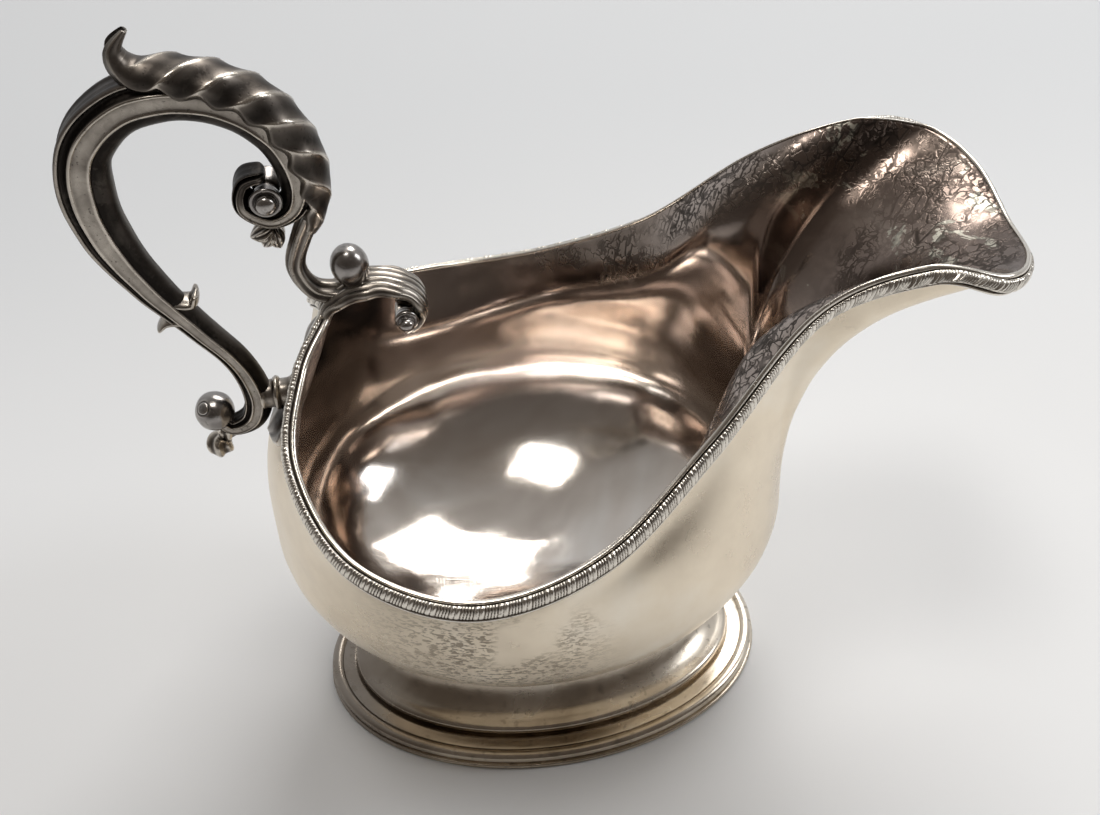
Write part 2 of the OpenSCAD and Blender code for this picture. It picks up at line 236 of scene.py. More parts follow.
def cast_material(name, dark, mid, bright, lo=0.30, hi=0.62, rough=(0.42, 0.20), patch=0.55):
    k = Mat(name)
    relief = k.attr("relief")
    n1 = k.noise(210, 5, 0.65, 0.3)
    n2 = k.noise(60, 4, 0.6)
    f = k.math("ADD", k.math("MULTIPLY", relief, 0.78),
               k.math("MULTIPLY", k.math("ADD", k.math("MULTIPLY", n1, 0.6),
                                         k.math("MULTIPLY", n2, 0.4)), 0.22))
    # colour follows the relief: painted shade in hollows, painted highlight on ridges
    colour = k.ramp(f, (lo, dark), ((lo + hi) / 2, mid), (hi, bright))
    blot = k.math("MULTIPLY", k.span(k.noise(150, 4, 0.7, 0.6), 0.52, 0.57), patch)
    colour = k.mix(k.math("MULTIPLY", blot, 0.35), colour, mid)
    specks = k.span(k.noise(1500, 2, 0.5), 0.66, 0.70)
    colour = k.mix(k.math("MULTIPLY", specks, 0.5), colour, dark)
    r = k.span(f, lo, hi, rough[0], rough[1])
    r = k.math("ADD", r, k.math("MULTIPLY", k.noise(420, 3, 0.6), 0.06))
    n = k.bump(k.noise(1.0, 2, 0.5, 0.0, k.scaled(700, 2200, 700, (0.2, 0.5, 0.4))), 0.00002, 0.4)
    n = k.bump(k.noise(330, 4, 0.6), 0.00005, 0.5, n)
    n = k.bump(k.math("SUBTRACT", 1.0, k.math("ADD", specks, k.math("MULTIPLY", blot, 0.5))), 0.00004, 0.5, n)
    return k.done(colour, r, n)


def foot_material():
    k = Mat("foot_silver")
    relief = k.attr("relief")
    cloud = k.noise(44, 5, 0.6, 0.4)
    c = k.ramp(cloud, (0.32, (0.40, 0.34, 0.265)), (0.5, (0.60, 0.52, 0.42)), (0.68, (0.78, 0.71, 0.61)))
    # darker towards the handle end
    c = k.mix(k.span(k.xyz()[0], -0.028, -0.052, 0.0, 0.72), c, (0.12, 0.098, 0.085))
    # from the relief: painted shade in the grooves, painted highlight along the beads
    c = k.mix(k.math("MULTIPLY", k.span(relief, 0.38, 0.18), 0.75), c, (0.10, 0.082, 0.066))
    c = k.mix(k.math("MULTIPLY", k.span(relief, 0.58, 0.72), 0.7), c, (0.86, 0.84, 0.80))
    spots = k.span(k.noise(520, 3, 0.6), 0.60, 0.66)
    c = k.mix(k.math("MULTIPLY", spots, 0.35), c, (0.16, 0.13, 0.10))
    r = k.math("ADD", k.span(cloud, 0.3, 0.7, 0.19, 0.30),
               k.math("MULTIPLY", k.span(relief, 0.42, 0.25), 0.2))
    n = k.bump(k.noise(1.0, 2, 0.5, 0.0, k.scaled(300, 2300, 900, (0.1, 0.2, 0.6))), 0.00002, 0.4)
    n = k.bump(k.noise(160, 3, 0.6), 0.0001, 0.25, n)
    return k.done(c, r, n)


BOWL = bowl_material()
FOOT = foot_material()
CAST = cast_material("cast_silver", (0.020, 0.017, 0.015), (0.15, 0.13, 0.112), (0.64, 0.585, 0.51),
                     0.32, 0.66)
EDGE = cast_material("border_silver", (0.026, 0.021, 0.017), (0.31, 0.27, 0.225), (0.82, 0.77, 0.69),
                     0.28, 0.54, (0.42, 0.2), 0.3)
BOSS = cast_material("boss_silver", (0.035, 0.032, 0.032), (0.20, 0.185, 0.178), (0.52, 0.49, 0.46),
                     0.30, 0.66, (0.34, 0.17), 0.8)


# ---------------------------------------------------------------- mesh tools
def grid(n, m, wrap_n=False, wrap_m=True):
    a = np.arange(n * m).reshape(n, m)
    r = np.roll(a, -1, 0) if wrap_n else a[1:]
    q = a if wrap_n else a[:-1]
    s = r
    if wrap_m:
        q2, s2 = np.roll(q, -1, 1), np.roll(s, -1, 1)
    else:
        q2, s2, q, s = q[:, 1:], s[:, 1:], q[:, :-1], s[:, :-1]
    return np.stack([q, q2, s2, s], -1).reshape(-1, 4)


def relief(me, sweeps=2, gain=1.0, tone=None):
    """0 in hollows, 0.5 on flats, 1 on ridges, stored on the points."""
    n = len(me.vertices)
    co = np.empty(n * 3)
    me.vertices.foreach_get("co", co)
    co = co.reshape(-1, 3)
    no = np.empty(n * 3)
    me.vertex_normals.foreach_get("vector", no)
    no = no.reshape(-1, 3)
    e = np.empty(len(me.edges) * 2, dtype=np.int64)
    me.edges.foreach_get("vertices", e)
    e = e.reshape(-1, 2)
    deg = np.bincount(e.ravel(), minlength=n).clip(1)

    def spread(v):
        out = np.zeros_like(v)
        np.add.at(out, e[:, 0], v[e[:, 1]])
        np.add.at(out, e[:, 1], v[e[:, 0]])
        return (out.T / deg).T

    ln = np.linalg.norm(co[e[:, 0]] - co[e[:, 1]], axis=1)
    s = np.zeros(n)
    np.add.at(s, e[:, 0], ln ** 2)
    np.add.at(s, e[:, 1], ln ** 2)
    h = -((spread(co) - co) * no).sum(1) / (s / deg).clip(1e-12)
    h = np.clip(h * 0.00055 * gain, -0.5, 0.5)
    for _ in range(sweeps):
        h = 0.5 * h + 0.5 * spread(h)
    if tone is not None:
        h = h + np.asarray(tone, float).ravel()
    a = me.attributes.new("relief", "FLOAT", "POINT")
    a.data.foreach_set("value", (0.5 + h).astype(np.float32))


def put(name, pts, faces, mat, slot, nodes=(), surf=None, gain=1.0, sweeps=2, tone=None):
    pts = np.asarray(pts, float).reshape(-1, 3) * 0.001 + np.array([FX, 0, 0])
    tri = np.array([[f[0], f[i], f[i + 1]] for f in faces for i in range(1, len(f) - 1)], int)
    a, b, c = (pts[tri[:, i]] - pts.mean(0) for i in range(3))
    if (a * np.cross(b, c)).sum() < 0:      # every piece is closed: turn it right side out
        faces = [list(f)[::-1] for f in faces]
    me = bpy.data.meshes.new(name)
    me.from_pydata(pts.tolist(), [], [list(map(int, f)) for f in faces])
    me.validate()
    me.shade_smooth()
    ob = bpy.data.objects.new(name, me)
    bpy.context.scene.collection.objects.link(ob)
    if surf is not None:
        a = me.attributes.new("surf", "FLOAT_COLOR", "POINT")
        a.data.foreach_set("color", np.asarray(surf, np.float32).ravel())
    relief(me, sweeps, gain, tone)
    me.materials.append(mat)
    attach(ob, "root")
    if nodes:
        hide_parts(*nodes)
    return ob


def join(parts):
    """Several (points, faces) pairs as one."""
    pts, faces, k = [], [], 0
    for p, f in parts:
        p = np.asarray(p, float).reshape(-1, 3)
        pts.append(p)
        faces += [[int(i) + k for i in q] for q in f]
        k += len(p)
    return np.concatenate(pts), faces


def capped(rings):
    """Rings (n, m, 3) closed at both ends by a fan to the ring's middle."""
    n, m, _ = rings.shape
    pts = np.concatenate([rings.reshape(-1, 3), rings[0].mean(0)[None], rings[-1].mean(0)[None]])
    f = [list(q)[::-1] for q in grid(n, m)]
    k = n * m
    f += [[k, j, (j + 1) % m] for j in range(m)]
    f += [[k + 1, (n - 1) * m + (j + 1) % m, (n - 1) * m + j] for j in range(m)]
    return pts, f


def between(a, b, c, d, t):
    """A point on the smooth curve from b to c, with a before and d after."""
    return 0.5 * (2 * b + (c - a) * t + (2 * a - 5 * b + 4 * c - d) * t ** 2
                  + (3 * b - a - 3 * c + d) * t ** 3)


def cr(p, k, loop=False):
    """Smooth curve through the rows of p, k steps to a span."""
    p = np.asarray(p, float)
    e = np.concatenate([p[-1:], p, p[:2]] if loop else [p[:1], p, p[-1:]])
    t = (np.arange(k) / k)[:, None]
    out = [between(*e[i:i + 4], t) for i in range(len(e) - 3)]
    return np.concatenate(out if loop else out + [p[-1:]])


def unit(v):
    return v / np.linalg.norm(v, axis=-1, keepdims=True).clip(1e-9)


def sweep(path, section, k=12):
    """A round-ended bar in the XZ plane: section(f, s) gives (m, 2) of thickness, width."""
    p = cr(path, k)
    n = len(p)
    d = unit(np.gradient(p[:, :2], axis=0))
    s = np.concatenate([[0], np.cumsum(np.linalg.norm(np.diff(p[:, :2], axis=0), axis=1))])
    rings = []
    for i in range(n):
        r = 0.5 * p[i, 2]
        e = min(1.0, (min(s[i], s[-1] - s[i]) + 0.08 * r) / r)
        q = section(i / (n - 1), s[i]) * math.sqrt(1 - (1 - e) ** 2)
        off = q[:, 0] * p[i, 2]
        rings.append(np.stack([p[i, 0] - d[i, 1] * off, q[:, 1] * p[i, 3],
                               p[i, 1] + d[i, 0] * off], -1))
    return capped(np.array(rings))


def lathe(profile, centre, axis=(0, 0, 1), m=48, k=6, wob=None):
    """Profile rows (radius, height) turned about an axis through centre."""
    q = cr(profile, k)
    a = np.arange(m) * 2 * math.pi / m
    z = np.array(axis, float)
    z /= np.linalg.norm(z)
    x = unit(np.cross([0.31, 0.83, 0.21], z))
    y = np.cross(z, x)
    r = q[:, 0].clip(1e-4)[:, None, None]
    if wob is not None:
        r = r * wob(a[None, :], q[:, 1][:, None])[..., None]
    ring = r * (np.cos(a)[None, :, None] * x + np.sin(a)[None, :, None] * y)
    pts = np.array(centre, float) + ring + q[:, 1][:, None, None] * z
    return capped(pts)


# ---------------------------------------------------------------- bowl surface
LIP = 102.9
RIM = np.array([[-34, 0, 102], [-40, 12, 96.5], [-43, 27, 86.5], [-34, 44, 76],
                [-13, 53, 71], [11, 49, 75], [33, 37, 88.3], [54, 27.4, 106.8],
                [74, 26.4, 113], [88.3, 26.6, 109.2], [95.6, 16.4, LIP + 2.7], [97.1, 0, LIP]], float)
REXT = np.concatenate([RIM[1:2] * [1, -1, 1], RIM, RIM[-2:-1] * [1, -1, 1]])
FRONT, REAR, SIDE, BELLY_Z, LOW_Z, WALL = 53.0, 52.5, 47.6, 49.6, 19.2, 1.0
BACK_TUCK, TUCK_END = 5.5, 0.36


def rim(u):
    u = np.mod(u, 2.0)
    s = np.where(u <= 1, u, 2 - u)
    q = s * (len(RIM) - 1)
    i = np.minimum(len(RIM) - 2, np.floor(q)).astype(int)
    t = (q - i)[..., None]
    p = between(REXT[i], REXT[i + 1], REXT[i + 2], REXT[i + 3], t)
    p[..., 1] *= np.where(u <= 1, 1, -1)
    # the back corner on the +Y side sits further in
    p[..., 0] += np.where(u < TUCK_END, BACK_TUCK * np.sin(math.pi * u / TUCK_END) ** 2, 0)
    return p


def rmp(x, a, b):
    t = np.clip((x - a) / (b - a), 0, 1)
    return t * t * (3 - 2 * t)


def mixf(a, b, t):
    return a * (1 - t) + b * t


def wall_dir(u):
    r = rim(u)
    f = np.degrees(np.abs(np.arctan2(r[..., 1], r[..., 0])))
    lean = np.radians(mixf(mixf(5.5, 56.5, rmp(f, 0, 55)), 108.7, rmp(f, 95, 180)))[..., None]
    o = unit(r * [1, 1, 0])
    return o * np.cos(lean) + np.array([0, 0, 1.0]) * np.sin(lean)


def skin(u, v):
    """Outer surface: u round the rim 0..2, v 0 bottom, 1 belly, 2 rim."""
    u, v = np.broadcast_arrays(np.asarray(u, float), np.asarray(v, float))
    r = rim(u)
    f = np.arctan2(r[..., 1], r[..., 0])
    w = rmp(np.degrees(np.abs(f)), 0, 60)[..., None]
    rx = np.where(np.cos(f) > 0, FRONT, REAR)
    e = np.stack([rx * np.cos(f), SIDE * np.sin(f), np.full_like(f, BELLY_Z)], -1)
    d = np.linalg.norm(r - e, axis=-1, keepdims=True)
    t = np.clip(v - 1, 0, 1)[..., None]
    b = e + np.array([0, 0, 1.0]) * mixf(0.61, 0.65, w) * (r[..., 2:] - e[..., 2:])
    c = r - wall_dir(u) * mixf(0.355, 0.62, w) * d
    s = 1 - t
    up = e * s ** 3 + 3 * b * s * s * t + 3 * c * s * t * t + r * t ** 3
    a = np.clip(v, 0, 1) * math.pi / 2
    lo = np.stack([e[..., 0] * np.sin(a), e[..., 1] * np.sin(a),
                   LOW_Z + (BELLY_Z - LOW_Z) * (1 - np.cos(a))], -1)
    return np.where(v[..., None] <= 1, lo, up)


def skin_n(u, v):
    h = 0.003
    w = np.maximum(0.02, v)
    du = skin(u + h, w) - skin(u - h, w)
    dv = skin(u, np.minimum(2, w + h)) - skin(u, w - h)
    return unit(np.cross(dv, du))


def under_z(x, y):
    ax = np.where(x > 0, FRONT, REAR)
    r = np.sqrt((x / ax) ** 2 + (y / SIDE) ** 2)
    return LOW_Z + (BELLY_Z - LOW_Z) * (1 - np.sqrt(np.maximum(0, 1 - r * r)))


def waves(count, lo, hi, amp):
    """Slow waves that make the raised sheet a little uneven."""
    k = rng.normal(size=(count, 3))
    k = unit(k) * (2 * math.pi / rng.uniform(lo, hi, count))[:, None]
    return k, rng.uniform(0, 6.28, count), amp / math.sqrt(count)


W1, W2 = waves(14, 22, 46, 0.12), waves(18, 8, 15, 0.036)
# dents: [where, radius, depth]
DENTS = [((6, -22, 20.5), 6, -0.35), ((-20, -8, 23), 7, 0.3), ((22, 10, 23.5), 5, -0.3),
         ((30, -42, 56), 5, 0.25), ((44, 20, 80), 7, 0.5), ((52, 22, 88), 6, -0.5),
         ((36, 30, 70), 8, 0.45), ((-30, 10, 30), 6, -0.25), ((10, 36, 40), 7, 0.35),
         ((47, -24, 62), 3, -0.3)]


def uneven(p):
    h = np.zeros(p.shape[:-1])
    for k, ph, a in (W1, W2):
        h += a * np.sin(p @ k.T + ph).sum(-1)
    for c, r, d in DENTS:
        h += d * np.exp(-((p - np.array(c)) ** 2).sum(-1) / (r * r))
    return h


NU = 360
us = np.arange(NU) * 2.0 / NU
vs = np.concatenate([np.linspace(0.02, 1, 52)[:-1], np.linspace(1, 2, 64)])
U, V = np.meshgrid(us, vs)
out = skin(U, V)
nrm = skin_n(U, V)
fade = (1 - rmp(V, 1.86, 1.97))[..., None]
shift = uneven(out)[..., None] * fade * nrm
inn = out - nrm * WALL + shift
out = out + shift
rings = np.concatenate([out, inn[::-1]])
nr = len(rings)
pole_o, pole_i = out[0].mean(0), inn[0].mean(0)
pts = np.concatenate([rings.reshape(-1, 3), pole_o[None], pole_i[None]])
fs = [list(q) for q in grid(nr, NU)]
kk = nr * NU
fs += [[kk, (j + 1) % NU, j] for j in range(NU)]
fs += [[kk + 1, (nr - 1) * NU + j, (nr - 1) * NU + (j + 1) % NU] for j in range(NU)]
surf = np.zeros((nr, NU, 4), np.float32)
surf[len(vs):, :, 0] = 1
surf[..., 1] = np.concatenate([V, V[::-1]]) / 2
surf[..., 2] = us[None] / 2
surf[..., 3] = 1
ends = np.array([[0, 0, 0, 1], [1, 0, 0, 1]], np.float32)
put("bowl_sheet", pts, fs, BOWL, "bowl_silver", ["bowl"],
    surf=np.concatenate([surf.reshape(-1, 4), ends]))

# ---------------------------------------------------------------- rim border
dense = np.linspace(0, 2, 6001)
line = skin(dense, 2.0)
arc = np.concatenate([[0], np.cumsum(np.linalg.norm(np.diff(line, axis=0), axis=1))])
PITCH_B = 4.15          # one repeat: two reeds and a notched bead
REPEATS = int(round(arc[-1] / PITCH_B))
STEPS = 24
st = np.arange(REPEATS * STEPS) / (REPEATS * STEPS)
ub = np.interp(st * arc[-1], arc, dense)
r0 = skin(ub, 2.0)
o0 = skin_n(ub, np.full_like(ub, 1.98))
w0 = wall_dir(ub)
t0 = unit(w0 - o0 * (w0 * o0).sum(-1, keepdims=True))
# across the border: [along the wall, out from it, how far the milling reaches]
ACROSS = np.array([[-0.35, -WALL + 0.05, 0], [-0.3, -WALL - 0.14, 0], [0.05, -WALL - 0.26, 0],
                   [0.38, -WALL - 0.14, 0], [0.58, -0.82, 0], [0.60, -0.52, 0], [0.46, -0.28, 0],
                   [0.22, -0.16, 0], [0.14, -0.02, 0], [0.20, 0.10, 0.1], [0.30, 0.22, 0.55],
                   [0.24, 0.42, 0.9], [0.0, 0.66, 1], [-0.4, 0.84, 1], [-0.9, 0.92, 1],
                   [-1.4, 0.92, 1], [-1.8, 0.84, 0.9], [-2.08, 0.66, 0.5], [-2.2, 0.42, 0.1],
                   [-2.34, 0.36, 0], [-2.5, 0.62, 0], [-2.72, 0.74, 0], [-2.95, 0.66, 0],
                   [-3.14, 0.4, 0]])
# which way the milling stands out at each row: along the wall, out from it
AIM = [(0.7, 0.7)] * 12 + [(0.6, 0.8)] + [(0.35, 0.94)] + [(0.1, 0.99)] + [(0, 1)] * 9
rr = rim(ub)
fu = np.degrees(np.arctan2(rr[:, 1], rr[:, 0]))
FACE_TURN = 42
turn = np.radians(FACE_TURN * (1 - rmp(np.abs(fu), 105, 160)))[:, None]
t1 = t0 * np.cos(turn) - o0 * np.sin(turn)
o1 = o0 * np.cos(turn) + t0 * np.sin(turn)
rx = np.where(np.cos(np.radians(fu)) > 0, FRONT, REAR)
eb = np.stack([rx * np.cos(np.radians(fu)), SIDE * np.sin(np.radians(fu)), 0 * fu + BELLY_Z], -1)
pull = mixf(0.355, 0.62, rmp(np.abs(fu), 0, 60)) * np.linalg.norm(rr - eb, axis=1)
low = 2 - 3.2 / (3 * pull)
rows_b, tone_b = [], []
for k, ((al, ou, ml), (aa, ao)) in enumerate(zip(ACROSS, AIM)):
    # the reeds lean a little, so the pattern slides along as it goes down
    ph = np.mod(st * REPEATS + 0.07 * (al + 1.6), 1.0)
    reeds = np.abs(np.sin(ph / 0.52 * 4 * math.pi)) ** 0.7
    q = (ph - 0.52) / 0.48
    bead = np.sqrt(np.clip(1 - (2 * q - 1) ** 4, 0, 1)) * (1 - 0.55 * np.exp(-((q - 0.5) / 0.07) ** 2))
    mill = np.where(ph < 0.52, reeds * 0.92, bead)
    worn = 1 - 0.22 * np.sin(st * 2 * math.pi * 3 + 1.1) ** 2
    amp = (0.74 * ml * mill * worn)[:, None]
    # painted shade in the grooves at the border's edges and between the reeds, painted highlight on the
    # milled tops
    tone_b.append(ml * (0.62 * mill - 0.46) - (0.22 if k in (6, 7, 8, 9, 18, 19, 20) else 0.0))
    tt, oo = (t0, o0) if k < 7 else (t1, o1)
    rows_b.append(r0 + tt * (al + aa * amp) + oo * (ou + ao * amp))
# two rows down the wall, toned darker: painted shade under the border
for vv in (low, (2 + low) / 2):
    rows_b.append(skin(ub, vv) - skin_n(ub, vv) * 0.1)
    tone_b.append(0 * st - 0.25)
bp = np.array(rows_b)
put("rim_border_milled", bp, [list(q)[::-1] for q in grid(len(rows_b), len(st), True, True)], EDGE,
    "border_silver", ["rim_border"], gain=0.3, sweeps=1, tone=np.array(tone_b))

# ---------------------------------------------------------------- foot
STEP_Z, FLANGE = 4.6, 6.2
NF = 240
th = np.arange(NF) * 2 * math.pi / NF
fa, fb = 48 - FLANGE, 34.5 - FLANGE
base = np.stack([fa * np.cos(th), fb * np.sin(th), 0 * th], -1)
fn = unit(np.stack([fb * np.cos(th), fa * np.sin(th), 0 * th], -1))


def oval(d):
    return base + fn * d


def band(name, profile, node, k=5, gain=1.0):
    q = cr(profile, k, True) if k > 1 else np.array(profile, float)
    rows = [oval(d) + [0, 0, max(0.0, z)] for d, z in q]
    put(name, np.array(rows), [list(f)[::-1] for f in grid(len(rows), NF, True, True)], FOOT,
        "foot_silver", [node], gain=gain)


neck = cr([[-2.2, STEP_Z - 0.62], [-0.7, STEP_Z - 0.58], [-0.05, STEP_Z - 0.35], [0.24, STEP_Z + 0.2],
           [0.18, STEP_Z + 0.85], [-0.25, STEP_Z + 1.35], [-1.0, STEP_Z + 1.7], [-2.1, STEP_Z + 2.15],
           [-3.5, STEP_Z + 3.0], [-5.1, STEP_Z + 4.6], [-6.5, STEP_Z + 7.2], [-7.6, STEP_Z + 10.6]], 6)
neck_in = cr([[-9.2, STEP_Z + 9], [-7.4, STEP_Z + 5], [-4.6, STEP_Z + 2.2], [-2.9, STEP_Z + 0.6]], 4)
rows_n = [oval(d) + [0, 0, z] for d, z in neck]
for d in (-8.6, -9.8):
    p = oval(d)
    p[:, 2] = under_z(p[:, 0], p[:, 1]) + 0.12
    rows_n.append(p)
rows_n += [oval(d) + [0, 0, z] for d, z in neck_in]
put("foot_neck_spun", np.array(rows_n), [list(f)[::-1] for f in grid(len(rows_n), NF, True, True)], FOOT,
    "foot_silver", ["foot_neck"], gain=1.3)
band("foot_flange_spun", [[-2.0, STEP_Z - 0.6], [-0.7, STEP_Z - 0.95], [0.1, STEP_Z - 1.05],
     [0.8, STEP_Z - 0.98], [1.6, STEP_Z - 1.05], [2.5, STEP_Z - 1.15], [3.3, STEP_Z - 1.3],
     [3.9, STEP_Z - 1.6], [4.1, STEP_Z - 2.4], [3.7, 1.6], [3.0, 1.35], [2.2, STEP_Z - 2.6],
     [0.6, STEP_Z - 1.9], [-1.6, STEP_Z - 1.6]], "foot_flange", gain=1.5)
ba = np.arange(32) * 2 * math.pi / 32
band("foot_edge_roll", [[FLANGE - 1.72 + 1.5 * math.cos(-a), 2.42 + 1.32 * math.sin(-a)] for a in ba],
     "foot_edge_bead", k=1)
band("foot_base_roll", [[FLANGE - 3.2, 1.3], [FLANGE - 1.4, 1.3], [FLANGE - 0.75, 1.16],
     [FLANGE - 0.2, 1.04], [FLANGE + 0.02, 0.66], [FLANGE - 0.1, 0.25], [FLANGE - 0.5, 0.02],
     [FLANGE - 1.5, 0.0], [FLANGE - 3.1, 0.0]], "foot_base_ring")

# ---------------------------------------------------------------- handle scroll
ST, SW = 10.2, 8.6
SCROLL = [[-40.5, 132.6, 2.4, 5.5], [-44.4, 131.8, 3, 7], [-45.2, 127.6, 3.6, SW],
          [-41, 124.4, 4, SW], [-36.4, 126.4, 5.2, SW], [-34.9, 132.4, 0.71 * ST, SW],
          [-37.6, 141.1, 0.83 * ST, SW], [-45, 147.7, 0.89 * ST, SW], [-54, 150.2, 0.94 * ST, SW],
          [-63.2, 148.6, 0.98 * ST, SW], [-70.2, 142.1, ST, 0.96 * SW], [-72.1, 133, ST, 0.92 * SW],
          [-70.3, 122.4, 0.88 * ST, 0.84 * SW], [-65.3, 111.5, 0.66 * ST, 0.74 * SW],
          [-58.7, 101.3, 0.5 * ST, 0.66 * SW], [-52.8, 92.2, 0.48 * ST, 0.62 * SW],
          [-50.5, 83.6, 0.56 * ST, 0.6 * SW], [-52.2, 77.7, 0.5 * ST, 0.58 * SW],
          [-56.6, 75.9, 0.38 * ST, 0.54 * SW], [-59.4, 78.6, 0.3 * ST, 0.5 * SW]]
# half a section from the outer back to the inner face: [thickness, half width, tone: painted shade on the
# outer back, the channel and the inner face, painted highlight on the side band and the inner bead]
HALF = cr([[0.5, 0.0, -0.14], [0.495, 0.1, -0.14], [0.46, 0.21, -0.17], [0.40, 0.30, -0.2],
           [0.31, 0.37, -0.22], [0.225, 0.405, -0.25], [0.19, 0.425, -0.2], [0.178, 0.478, 0.08],
           [0.142, 0.508, 0.16], [0.102, 0.486, 0.06], [0.05, 0.474, 0.06], [-0.05, 0.472, 0.08],
           [-0.135, 0.478, 0.06], [-0.172, 0.506, 0.16], [-0.215, 0.488, 0.06], [-0.235, 0.42, -0.22],
           [-0.27, 0.35, -0.28], [-0.315, 0.315, -0.26], [-0.355, 0.33, -0.1], [-0.385, 0.372, 0.08],
           [-0.42, 0.378, 0.06], [-0.452, 0.34, -0.1], [-0.462, 0.26, -0.2], [-0.445, 0.18, -0.22],
           [-0.44, 0.09, -0.2], [-0.445, 0.0, -0.18]], 3)
FULL = np.concatenate([HALF, HALF[-2:0:-1] * [1, -1, 1]])


def scroll_section(f, s):
    q = FULL[:, :2].copy()
    # hand-cast: the faces wander a little along the bar
    q[:, 1] *= 1 + 0.012 * math.sin(s * 0.9) + 0.01 * math.sin(s * 0.37 + 1)
    q[:, 0] *= 1 + 0.012 * math.sin(s * 0.53 + 2)
    return q


spts, sfs = sweep(SCROLL, scroll_section, 12)
count = (len(spts) - 2) // len(FULL)
# painted shade: the start of the volute, inside its turn, is darker
turn_shade = -0.22 * (1 - rmp(np.arange(count), 12, 26))
tone = np.concatenate([(FULL[None, :, 2] + turn_shade[:, None]).ravel(), [0, 0]])
put("handle_scroll_cast", spts, sfs, CAST, "cast_silver", ["handle_scroll"], tone=tone)

# ---------------------------------------------------------------- leaf
LEAF = [[-34, 119.6, 2.2], [-31.7, 124, 3.8], [-30.2, 130.2, 4.9], [-31.2, 138.4, 5.4],
        [-36.2, 147.4, 5.4], [-44.6, 153.4, 5.2], [-53.2, 156, 4.8], [-58.6, 156.5, 3.8],
        [-60.6, 159.4, 2.5], [-58.5, 162.7, 0.9]]
lp = cr(LEAF, 26)
ld = unit(np.gradient(lp[:, :2], axis=0))
ls = np.concatenate([[0], np.cumsum(np.linalg.norm(np.diff(lp[:, :2], axis=0), axis=1))])
lo_ = np.stack([ld[:, 1], -ld[:, 0]], -1)
fr = np.radians(np.linspace(-96, 96, 61))
PITCH = 7.4
leaf_rings, leaf_shade_tone = [], []
for i in range(len(lp)):
    h = lp[i, 2]
    g = min(1.0, h / 3)
    live = float(rmp(ls[i], 1.5, 7) * (1 - rmp(ls[i], ls[-1] - 11, ls[-1] - 5)))
    ring = []
    for side in (0, 1):
        f = fr if side == 0 else fr[::-1]
        a = np.abs(f) / (math.pi / 2)
        b = f / (math.pi / 2)
        ph = (ls[i] / PITCH + 0.85 * b + 0.10 * np.sin(b * 2.6)) * math.pi
        crest = 1 - 1.9 * np.abs(np.sin(ph)) ** 0.75
        if side == 0:
            outer_crest = crest
        flute = live * 0.34 * crest * (0.5 + 0.5 * rmp(a, 0.0, 0.5))
        scal = -live * 0.55 * np.cos(2 * ph + 0.6) * rmp(a, 0.7, 1.0)
        d = (1.15 if side == 0 else -0.1) * g
        hh = h if side == 0 else h - 0.9 * g
        drop = (1 - np.cos(f)) * h * 0.8 + scal
        off = d + flute * (1.0 if side == 0 else 0.2) - drop
        yy = hh * np.sin(f) * (1 + 0.03 * crest * live)
        ring.append(np.stack([lp[i, 0] + lo_[i, 0] * off, yy, lp[i, 1] + lo_[i, 1] * off], -1))
    leaf_rings.append(np.concatenate(ring))
    # crests lighter and the inner face darker: painted highlight and painted shade
    leaf_shade_tone.append(np.concatenate([0.20 * live * (outer_crest + 0.15) - 0.05, 0 * fr - 0.2]))
lpts, lfs = capped(np.array(leaf_rings))
put("handle_leaf_chased", lpts, lfs, CAST, "cast_silver", ["handle_leaf"], gain=0.8,
    tone=np.concatenate([np.array(leaf_shade_tone).ravel(), [0, 0]]))

# ---------------------------------------------------------------- small castings
parts = []
for s in (-1, 1):
    parts.append(lathe([[0.01, -3.9], [1.9, -3.9], [2.9, -0.6], [3.0, -0.2], [2.8, 0.12], [2.35, 0.1],
                        [2.1, -0.12], [1.95, 0.2], [1.98, 0.75], [1.7, 1.4], [1.15, 1.82],
                        [0.5, 2.02], [0.01, 2.06]], (-41, s * 4.0, 128.6), (0, s, 0), 48, 4))
put("volute_eyes_turned", *join(parts), BOSS, "boss_silver", ["volute_eyes"])


def lobe(centre, axis, length, width, thick, flutes=5, m=40, n=26):
    z = unit(np.array(axis, float))
    y = np.array([0, 1.0, 0])
    x = np.cross(y, z)
    t = np.linspace(0.02, 0.98, n)
    a = np.arange(m) * 2 * math.pi / m
    r = np.sin(np.pi * t ** 0.8) ** 0.75
    rr = 1 + 0.13 * np.cos(flutes * 2 * a)[None] * np.sin(np.pi * t)[:, None]
    p = (np.array(centre, float) + (length * t)[:, None, None] * z
         + (r[:, None] * rr * width * np.cos(a)[None])[..., None] * y
         + (r[:, None] * rr * thick * np.sin(a)[None])[..., None] * x)
    return capped(p)


parts = []
for a in (-1, 0, 1):
    ang = math.radians(210 + 36 * a)
    ax = (math.sin(ang), 0, math.cos(ang))
    parts.append(lobe((-40.9 - 0.6 * ax[0], 0, 121.4 - 0.6 * ax[2]), ax, 5.7, 3.0, 1.5))
put("handle_shell_cast", *join(parts), CAST, "cast_silver", ["handle_shell"], gain=1.3)

ARM = [[-32.6, 125, 5, 6.2], [-36.2, 118.6, 4, 5], [-38.3, 112, 3.8, 4.8],
       [-35.6, 106.4, 4, 5.4], [-29.6, 105.2, 4, 6.4], [-26, 107.6, 3, 6.2]]


def reeded(count, depth, power=1.0, m=72):
    a = np.arange(m) * 2 * math.pi / m

    def section(f, s):
        g = 1 - depth * (0.5 - 0.5 * np.cos(count * a)) ** power
        return 0.5 * np.stack([np.cos(a) * g, np.sin(a) * g], -1)
    return section


